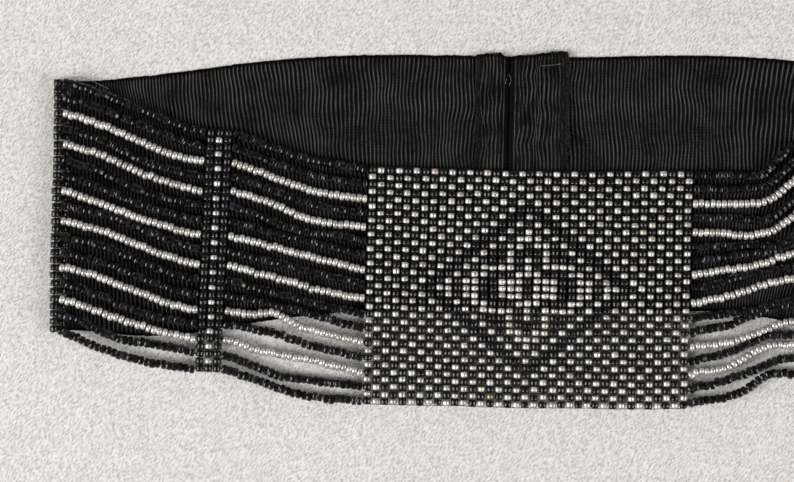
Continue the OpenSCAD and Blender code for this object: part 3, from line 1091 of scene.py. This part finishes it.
def make_ribbon(side):
    """Half of the ribbon, with its ribs as real relief, its folded end, its puckers and its selvedges."""
    _, ribbon, _ = settings()
    half = RibbonHalf(side)
    rib_count = round(half.length / ribbon.rib_pitch)
    bm = bmesh.new()
    bmesh.ops.create_grid(
        bm, x_segments=rib_count * FACES_A_RIB, y_segments=FACES_ACROSS, size=1.0, calc_uvs=True
    )
    height = bm.verts.layers.float.new("rib_height")
    frayed = bm.verts.layers.float.new("frayed")
    uv_map = bm.loops.layers.uv.verify()
    for face in bm.faces:
        face.smooth = True
        for loop in face.loops:
            u, v = loop.vert.co.x, loop.vert.co.y
            loop[uv_map].uv = ((u + 1) / 2 * half.length, v * ribbon.width / 2)
    for vert in bm.verts:
        share, across = (vert.co.x + 1) / 2, vert.co.y
        along = share * half.length
        back = along - half.flat_run - half.turn_run
        # The cut end has lost its ribs.
        fray = smooth_step((back - half.allowance) / MM + FRAYED[side])
        crest = rib_crest(share * rib_count % 1.0) * (1 - 0.5 * fray)
        # Painted shade: the groove of the seam is painted dark, and the folded end, which the stitches pull
        # about, a little darker in random creases.
        painted_seam_shade = smooth_step((back + half.turn_run) / MM + 1.5) * smooth_step(-back / (0.3 * MM))
        painted_crease_mask = smooth_step(0.1 + 1.8 * bumps(along / (2.5 * MM), across * 9, 6.0))
        painted_crease_shade = PAINTED_CREASE_SHADE * smooth_step(back / MM) * painted_crease_mask
        vert.co = half.surface(along, across, crest)
        # This attribute sets the cloth's colour: crests painted light and grooves painted dark, and the
        # seam's groove and the creases painted dark as shade.
        vert[height] = crest * (1 - 0.35 * selvedge(across)) * (1 - painted_seam_shade) * (1 - painted_crease_shade)
        vert[frayed] = fray
    bmesh.ops.recalc_face_normals(bm, faces=bm.faces)
    mesh = bpy.data.meshes.new("grosgrain")
    bm.to_mesh(mesh)
    bm.free()
    piece = link_piece(side + "_grosgrain", mesh, black_grosgrain, side + "_ribbon_half", side + "_ribbon")
    solid = piece.modifiers.new("cloth_thickness", "SOLIDIFY")
    solid.thickness = ribbon.thickness
    solid.offset = 0.0


def make_raw_edge(side, seed):
    """Fibres that fray from the cut end of the ribbon, and a tuft on its top edge."""
    rng = random.Random(seed)
    half = RibbonHalf(side)
    reach_v = half.look.width / 2
    fibres = []
    for _ in range(FIBRES[side]):
        v = rng.uniform(0.1 if rng.random() < 0.75 else -0.95, LAST_FIBRE) * reach_v
        root = half.top_of_flap(half.allowance - rng.uniform(0, 0.9) * MM, v)
        root.z -= 0.15 * MM
        reach = abs(rng.gauss(0.5, 0.4))
        # Under the beadwork they lie flat.
        aside = rng.gauss(0, 0.5)
        rise = rng.uniform(-0.3, 0.25) if v > 4 * MM else -rng.uniform(0.1, 0.3)
        tip = root + Vector((-half.way * reach, aside, rise)) * MM
        middle = root.lerp(tip, 0.5) + Vector((0, rng.gauss(0, 0.2), 0.08)) * MM
        fibres.append([root, middle, tip])
    for _ in range(TUFT_FIBRES):
        root = half.top_of_flap((TUFTS[side] + rng.gauss(0, 0.5)) * MM, reach_v * LAST_FIBRE)
        tip = root + Vector((rng.gauss(0.2, 0.5), abs(rng.gauss(0.7, 0.4)), rng.uniform(0, 0.3))) * MM
        fibres.append([root, root.lerp(tip, 0.6) + Vector((0.1 * MM, 0, 0)), tip])
    link_threads(side + "_raw_edge_fibres", fibres, FIBRE_WIDTH, side + "_ribbon_half", smooth=True)


# The hem: its stitches, the length of one, their distance from the cut edge, and their thread.
HEM_STITCHES = 12
HEM_STITCH = 2.2 * MM
HEM_INSET = 1.6 * MM
HEM_THREAD = 0.26 * MM
PUCKER_STITCH = 1.8 * MM
# Stitches that dip into the cloth at both ends: (place from -1 to 1, height in millimetres).
HEM_DIP = ((-1, -0.25), (-0.6, 0.05), (0, 0.08), (0.6, 0.05), (1, -0.25))
PUCKER_DIP = ((-1, -0.2), (-0.5, 0.04), (0, 0.06), (0.5, 0.04), (1, -0.2))


def stitch(half, back, v, slant, length, dip):
    """Points along a stitch on the folded end. slant is how far its upper end lies further back."""
    points = []
    for place, height in dip:
        point = half.top_of_flap(back + slant * place, v + place * length / 2)
        point.z += height * MM
        points.append(point)
    return points


def make_hem(side, seed):
    """Stitches that hold the folded end down, in a row along its cut edge and at every pucker."""
    _, ribbon, _ = settings()
    rng = random.Random(seed)
    half = RibbonHalf(side)
    step = ribbon.width / HEM_STITCHES
    inset = half.allowance - HEM_INSET
    stitches = []
    for n in range(HEM_STITCHES):
        v = (n + 0.5) * step - ribbon.width / 2
        stitches.append(stitch(half, inset, v, 0.0, HEM_STITCH, HEM_DIP))
    for back, v in PULLS[side]:
        slant = rng.uniform(-0.4, 0.4) * MM
        stitches.append(stitch(half, back * MM, v * MM, slant, PUCKER_STITCH, PUCKER_DIP))
    name, body = side + "_hem_thread", side + "_ribbon_half"
    link_threads(name, stitches, HEM_THREAD, body, side + "_hem_stitches", smooth=True)


# Loose ends of thread: the body they ride on, and a few points along each, in millimetres.
LOOSE_ENDS = {
    "left_fold_top": (
        "left_outer_fringe",
        [(-126.6, 38.6, 3.9), (-123.0, 39.0, 4.2), (-119.0, 37.6, 3.9), (-115.5, 36.0, 2.6)],
    ),
    "left_fold_bottom": (
        "left_outer_fringe",
        [(-127.0, -25.0, 3.6), (-122.5, -26.4, 3.4), (-118.0, -28.6, 2.6), (-113.5, -30.8, 1.6)],
    ),
    "seam_top": (
        "right_ribbon_half",
        [(-7.3, 39.9, 1.2), (-7.1, 40.6, 1.6), (-6.9, 41.2, 1.5)],
        [(-6.3, 39.3, 1.0), (-5.8, 40.4, 1.5), (-5.9, 41.6, 1.5), (-6.3, 42.4, 1.0)],
    ),
    "right_seam_end": (
        "right_ribbon_half",
        [(2.4, 45.0, 1.55), (4.3, 45.05, 1.8), (6.3, 45.3, 1.8), (7.9, 45.6, 1.6)],
    ),
}
LOOSE_THREAD = 0.15 * MM


def make_loose_ends():
    """Pale thread ends that have worked out of the fringe at the left fold, and out of the seam."""
    for name, (body, *ends) in LOOSE_ENDS.items():
        paths = [[Vector(point) * MM for point in end] for end in ends]
        link_threads(name + "_loose_end", paths, LOOSE_THREAD, body, smooth=True, finish=worn_thread_end)


# ---- Stage ----


FLOOR_RADIUS = 3.0
# A hair lower than the headband, so that the two surfaces never flicker into each other.
FLOOR_HEIGHT = -0.05 * MM


def make_floor():
    """A plain pale floor, far wider than the headband."""
    bm = bmesh.new()
    bmesh.ops.create_circle(bm, cap_ends=True, segments=96, radius=FLOOR_RADIUS)
    bmesh.ops.translate(bm, verts=bm.verts, vec=UP * FLOOR_HEIGHT)
    mesh = bpy.data.meshes.new("floor")
    bm.to_mesh(mesh)
    bm.free()
    floor = bpy.data.objects.new("floor", mesh)
    bpy.context.scene.collection.objects.link(floor)
    mesh.materials.append(finish_of(undyed_cotton))


# Soft boxes: name, direction from the headband, size in metres and radiance.
LAMPS = (
    ("window_side", (-0.80, -0.22, 0.62), (0.55, 0.9), 9.0),
    ("fill_side", (0.82, -0.22, 0.60), (0.45, 0.9), 6.5),
)
LAMP_DISTANCE = 1.3


def make_lamps():
    """Two tall soft boxes, left and right, and a dim even room."""
    for name, direction, (width, height), radiance in LAMPS:
        light = bpy.data.lights.new(name, "AREA")
        light.shape = "RECTANGLE"
        light.size, light.size_y = width, height
        # An area lamp of power P and area A has a radiance of P / (pi * A).
        light.energy = radiance * math.pi * width * height
        lamp = bpy.data.objects.new(name, light)
        bpy.context.scene.collection.objects.link(lamp)
        toward = Vector(direction).normalized()
        lamp.location = toward * LAMP_DISTANCE
        lamp.rotation_euler = toward.to_track_quat("Z", "Y").to_euler()
    world = bpy.data.worlds.new("studio")
    bpy.context.scene.world = world
    world.use_nodes = True
    tree = world.node_tree
    # The room is pale at eye level and dimmer overhead.
    direction = add_node(tree, "TexCoord").outputs["Generated"]
    height = add_node(tree, "SeparateXYZ", {"Vector": direction}).outputs["Z"]
    room = add_node(tree, "ValToRGB", {"Fac": height}, stops=((0.25, rgb("#d9d6d2")), (0.8, rgb("#5c5a58"))))
    path = add_node(tree, "LightPath").outputs["Is Camera Ray"]
    seen = add_node(
        tree, "Mix", {"Factor": path, "A": room.outputs["Color"]}, data_type="RGBA",
        b=with_alpha(rgb("#e6e2dd")),
    )
    set_node(tree.nodes["Background"], {"Color": seen.outputs["Result"]}, strength=0.75)


# The middle of the picture, from the middle of the panel.
PICTURE_OFFSET = Vector((-36.0, 12.1, 0)) * MM


def make_camera():
    """Looks straight down."""
    _, _, stage = settings()
    data = bpy.data.cameras.new("camera")
    data.lens = stage.lens
    data.clip_start, data.clip_end = 0.01, 20
    camera = bpy.data.objects.new("camera", data)
    bpy.context.scene.collection.objects.link(camera)
    distance = stage.picture_width * data.lens / data.sensor_width
    camera.location = middle_of("panel_black_columns") + PICTURE_OFFSET + UP * distance
    camera.rotation_euler = (0, 0, stage.roll)
    bpy.context.scene.camera = camera


# ---- Operators ----


class HEADBAND_OT_stage(bpy.types.Operator):
    """Make the floor, the lamps and the camera"""

    bl_idname = "headband.stage"
    bl_label = "Stage"

    def execute(self, context):
        context.scene.view_settings.view_transform = "Standard"
        make_camera()
        make_floor()
        make_lamps()
        return {"FINISHED"}


class HEADBAND_OT_panel(bpy.types.Operator):
    """Weave the front panel with its diamond"""

    bl_idname = "headband.panel"
    bl_label = "Front panel"

    def execute(self, context):
        nodes = {"dark": "panel_black_columns", "light": "panel_silver_beads", "warp": "panel_warp_threads"}
        weave_pieces(panel_part(), "panel", "panel", nodes, light_in_panel, seed=11)
        return {"FINISHED"}


class HEADBAND_OT_dividers(bpy.types.Operator):
    """Weave the two dividers"""

    bl_idname = "headband.dividers"
    bl_label = "Dividers"

    def execute(self, context):
        for seed, side in enumerate(SIDES, 21):
            stem, body = side + "_divider", side + "_outer_fringe"
            nodes = {
                "dark": stem + "_black_columns", "light": stem + "_silver_beads",
                "warp": stem + "_warp_threads",
            }
            weave_pieces(divider_part(side), stem, body, nodes, light_in_divider, seed)
        return {"FINISHED"}


class HEADBAND_OT_end_bars(bpy.types.Operator):
    """Weave the end bars and the binding columns at the folds"""

    bl_idname = "headband.end_bars"
    bl_label = "End bars"

    def execute(self, context):
        for seed, side in enumerate(SIDES, 31):
            stem, body = side + "_end_bar", side + "_outer_fringe"
            nodes = {"dark": stem + "_columns", "warp": stem + "_warp_threads"}
            weave_pieces(bar_part(side), stem, body, nodes, never_light, seed)
            make_binding(side, seed + 10)
        return {"FINISHED"}


class HEADBAND_OT_fringe(bpy.types.Operator):
    """String the four fringe sections"""

    bl_idname = "headband.fringe"
    bl_label = "Fringe strands"

    def execute(self, context):
        panel = panel_part()
        for seed, side in enumerate(SIDES, 51):
            divider, bar = divider_part(side), bar_part(side)
            # The columns that face the panel and the end bar.
            near, far = (0, -1) if side == "right" else (-1, 0)
            fringe_section(side + "_inner", panel, far, divider, near, seed)
            fringe_section(side + "_outer", divider, far, bar, 0, seed + 10)
        return {"FINISHED"}


class HEADBAND_OT_ribbon(bpy.types.Operator):
    """Lay the ribbon and sew its folded ends"""

    bl_idname = "headband.ribbon"
    bl_label = "Ribbon"

    def execute(self, context):
        for seed, side in enumerate(SIDES, 71):
            make_raw_edge(side, seed)
            make_hem(side, seed + 10)
            make_ribbon(side)
        make_loose_ends()
        return {"FINISHED"}


class HEADBAND_PT_sidebar(bpy.types.Panel):
    """Lists the headband's parts and sizes"""

    bl_label = "Headband"
    bl_idname = "HEADBAND_PT_sidebar"
    bl_space_type = "VIEW_3D"
    bl_region_type = "UI"
    bl_category = "Headband"

    def draw(self, context):
        for step in STEPS:
            self.layout.operator(step.bl_idname)
        for group in settings():
            box = self.layout.box()
            for name in group.bl_rna.properties.keys():
                if name not in ("rna_type", "name"):
                    box.prop(group, name)


GROUPS = {
    "headband_beads": BeadSettings,
    "headband_ribbon": RibbonSettings,
    "headband_stage": StageSettings,
}
STEPS = (
    HEADBAND_OT_stage,
    HEADBAND_OT_panel,
    HEADBAND_OT_dividers,
    HEADBAND_OT_end_bars,
    HEADBAND_OT_fringe,
    HEADBAND_OT_ribbon,
)


def register():
    """Adds the classes and their settings."""
    for kind in (*GROUPS.values(), *STEPS, HEADBAND_PT_sidebar):
        bpy.utils.register_class(kind)
    for name, group in GROUPS.items():
        setattr(bpy.types.Scene, name, bpy.props.PointerProperty(type=group))


def unregister():
    """Takes them away again."""
    for name in GROUPS:
        delattr(bpy.types.Scene, name)
    for kind in reversed((*GROUPS.values(), *STEPS, HEADBAND_PT_sidebar)):
        bpy.utils.unregister_class(kind)


def main():
    """Makes every piece."""
    register()
    bpy.ops.headband.stage()
    bpy.ops.headband.panel()
    bpy.ops.headband.dividers()
    bpy.ops.headband.end_bars()
    bpy.ops.headband.fringe()
    bpy.ops.headband.ribbon()


if __name__ == "__main__":
    main()
